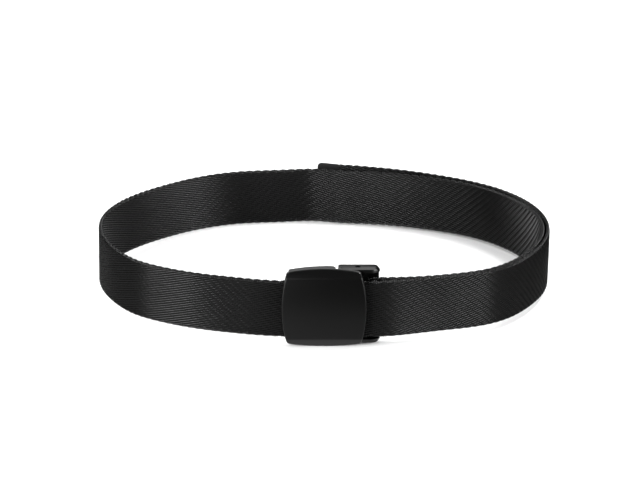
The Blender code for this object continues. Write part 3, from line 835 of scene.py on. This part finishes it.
for low, high in mirrored(lug_low, lug_low + LUG_THICKNESS):
    combine(cover, "UNION", slab("lug", lug_plan, low, high, "Z"))


def bore_for_pin(solid):
    bore = circle(PIN_X, pin_y, PIN_BORE, PIN_SIDES)
    combine(solid, "DIFFERENCE", slab("bore", bore, -OVER, PLATE_HEIGHT + OVER, "Z"))


bore_for_pin(cover)
finish_solid(cover, plastic_finish, "buckle_cover")

# The frame
# The moulded part behind the plate: the anvil that the webbing is pinched against, an ear over
# and under the webbing with the pin through both, and the slot that holds the sewn end.
EAR_START = PIN_X - 0.0126
EAR_SETBACK = 0.0008
EAR_FRONT_CORNER = 0.0068
EAR_BACK_CORNER = 0.0048
EAR_HIDDEN_CORNER = 0.0015
EAR_END_CORNER = 0.0034
EAR_EDGE = 0.0006
ANVIL_START = -PLATE_WIDTH / 2 + 0.00495
ANVIL_THICKNESS = 0.0023
ANVIL_CORNER = 0.0008
FRAME_FRONT = PLATE_THICKNESS + FIT + WEBBING_THICKNESS + FIT
CROSSBAR_BACK = FRAME_FRONT + 0.0042
FRAME_BACK = REAR_WALL_FRONT + 0.0022
SLOT_START = PIN_X + PIN_BORE + 0.0016
SLOT_TOP = WEBBING_LIFT + WEBBING_WIDTH + 0.0015
CROSSBAR_END = PIN_X + 0.0060
DIMPLE_X = EAR_START + 0.0022
DIMPLE_BACK = 0.0042            # behind the ear's front
DIMPLE_RADIUS = 0.00055
DIMPLE_DEPTH = 0.0005
DIMPLE_SIDES = 16

ear_front = PLATE_FRONT + PLATE_THICKNESS + EAR_SETBACK
frame_face = PLATE_FRONT + FRAME_FRONT
frame_back = PLATE_FRONT + FRAME_BACK
slot_front = PLATE_FRONT + CROSSBAR_BACK
slot_back = PLATE_FRONT + REAR_WALL_FRONT
ear_top = PLATE_HEIGHT - EAR_INSET
ear_low = EAR_INSET + EAR_THICKNESS
core_top = PLATE_HEIGHT - WEBBING_LIFT
frame_plan = rounded((
    (EAR_START, ear_front, EAR_HIDDEN_CORNER),
    (EAR_END, ear_front, EAR_FRONT_CORNER),
    (EAR_END, frame_back, EAR_BACK_CORNER),
    (EAR_START, frame_back, EAR_HIDDEN_CORNER),
))
body = slab("buckle_frame_body", frame_plan, -OVER, PLATE_HEIGHT + OVER, "Z")
elevation = rounded((
    (EAR_START - OVER, EAR_INSET, 0),
    (EAR_END, EAR_INSET, EAR_END_CORNER),
    (EAR_END, ear_top, EAR_END_CORNER),
    (EAR_START - OVER, ear_top, 0),
))
combine(body, "INTERSECT", slab("rounded_end", elevation, ear_front - OVER, frame_back + OVER,
                                "Y"))
soften(body, EAR_EDGE, 3)
# name, plan from and to, heights
WAYS = (
    ("webbing_way", (EAR_START - OVER, ear_front - OVER, EAR_END + OVER, frame_face),
     (ear_low, ear_top - EAR_THICKNESS)),
    ("lower_lug_room", (EAR_START - OVER, ear_front - OVER, SLOT_START, slot_back),
     (ear_low, WEBBING_LIFT)),
    ("upper_lug_room", (EAR_START - OVER, ear_front - OVER, SLOT_START, slot_back),
     (core_top, ear_top - EAR_THICKNESS)),
    ("fixed_end_slot", (SLOT_START, slot_front, EAR_END + OVER, slot_back),
     (WEBBING_LIFT - 2 * FIT, SLOT_TOP)),
    ("past_crossbar", (CROSSBAR_END, ear_front - OVER, EAR_END + OVER, slot_back),
     (ear_low, ear_top - EAR_THICKNESS)),
)
for name, plan, (low, high) in WAYS:
    combine(body, "DIFFERENCE", slab(name, box_outline(*plan), low, high, "Z"))
anvil = rounded((
    (ANVIL_START, frame_face, ANVIL_CORNER),
    (PIN_X - PIN_BORE, frame_face, 0),
    (PIN_X - PIN_BORE, frame_face + ANVIL_THICKNESS, 0),
    (ANVIL_START, frame_face + ANVIL_THICKNESS, ANVIL_CORNER),
))
combine(body, "UNION", slab("anvil", anvil, WEBBING_LIFT, core_top, "Z"))
bore_for_pin(body)
dimple = circle(DIMPLE_X, ear_front + DIMPLE_BACK, DIMPLE_RADIUS, DIMPLE_SIDES)
combine(body, "DIFFERENCE", slab("dimple", dimple, ear_top - DIMPLE_DEPTH, ear_top + OVER, "Z"))
finish_solid(body, plastic_finish, "buckle_frame")

# The hinge pin
# A short pin of blackened steel rod with lightly chamfered ends. It is pressed in from above,
# through the frame's ears and the cover's lugs, and the cover turns on it.
PIN_RADIUS = 0.0015
PIN_RECESS = 0.0008
PIN_CHAMFER = 0.0002
PIN_COLOURS = ((0.020, 0.020, 0.021, 1), (0.045, 0.045, 0.047, 1))

pin_finish, start = new_finish("blackened steel", {"Metallic": 1.0})
scratches = start.node("ShaderNodeTexNoise", {}, {"Scale": 1800.0, "Detail": 3.0})
feed(pin_finish, "Base Color", scratches.between(*PIN_COLOURS))
feed(pin_finish, "Roughness", 0.28 + scratches * 0.2)
pin_low = EAR_INSET + PIN_RECESS
pin = slab("hinge_pin_bar", circle(PIN_X, pin_y, PIN_RADIUS, PIN_SIDES), pin_low,
           PLATE_HEIGHT - pin_low, "Z")
soften(pin, PIN_CHAMFER, 2)
finish_solid(pin, pin_finish, "hinge_pin")
